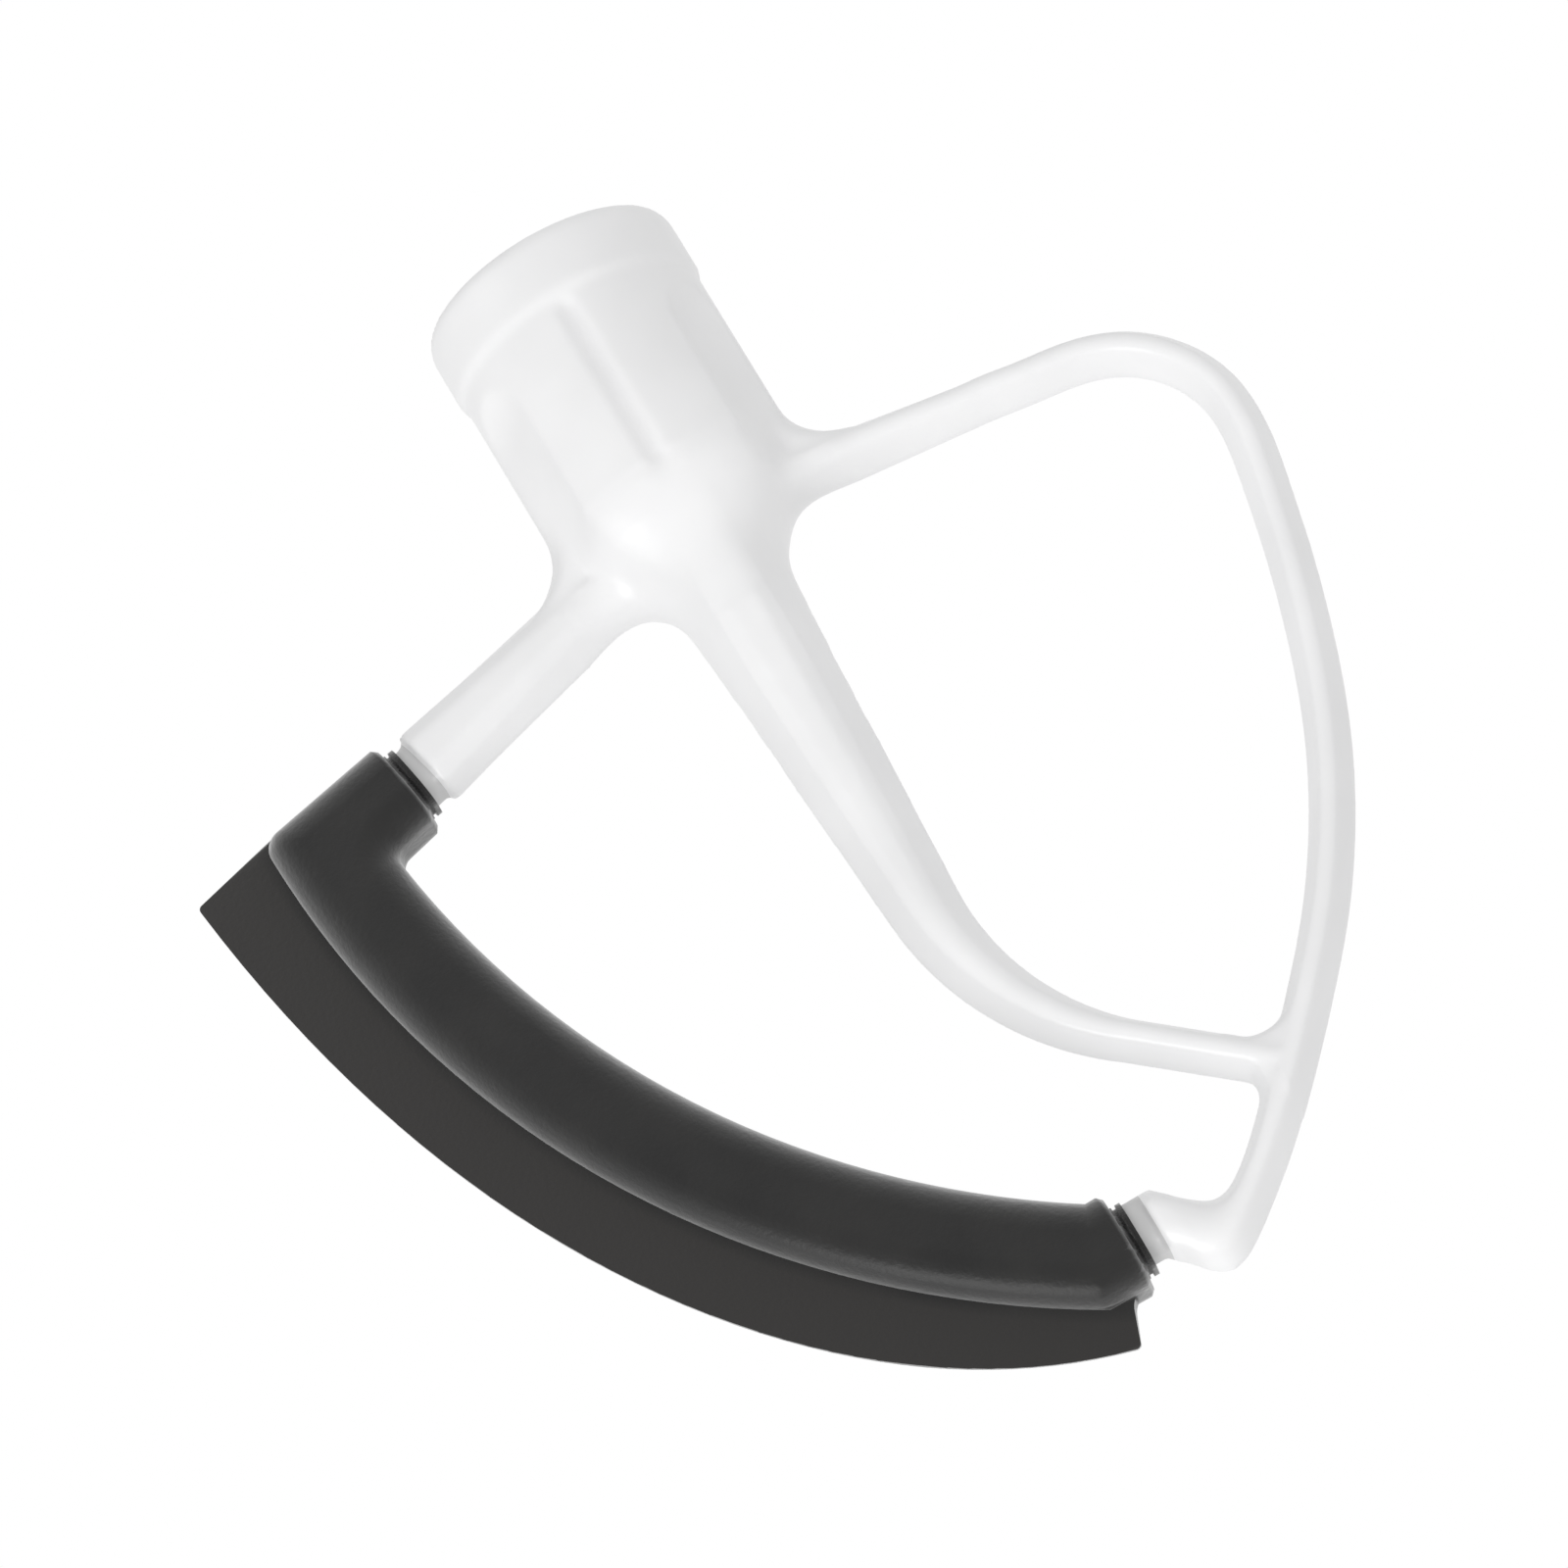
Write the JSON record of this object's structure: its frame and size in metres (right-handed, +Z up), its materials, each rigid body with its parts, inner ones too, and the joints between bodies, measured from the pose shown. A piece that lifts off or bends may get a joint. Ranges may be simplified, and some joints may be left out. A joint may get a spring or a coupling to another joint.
{
  "type": "stand mixer scraper beater",
  "caption": "Flat stand mixer beater: hub with a bayonet shaft bore, cast stem and one-sided loop, and a flexible scraper edge on the other side.",
  "frame": {"origin": "middle of the hub's top face, on the shaft bore's axis", "axes": "+Z up the shaft bore's axis, out of its mouth; flexible edge on -X; flat of the beater across Y"},
  "size_m": [0.1336, 0.032, 0.1478],
  "materials": {
    "white_coat": "gloss",
    "dark_silicone": "matte"
  },
  "bodies": {
    "root": {"beater_frame": "white_coat", "flex_edge": "dark_silicone"}
  },
  "joints": []
}
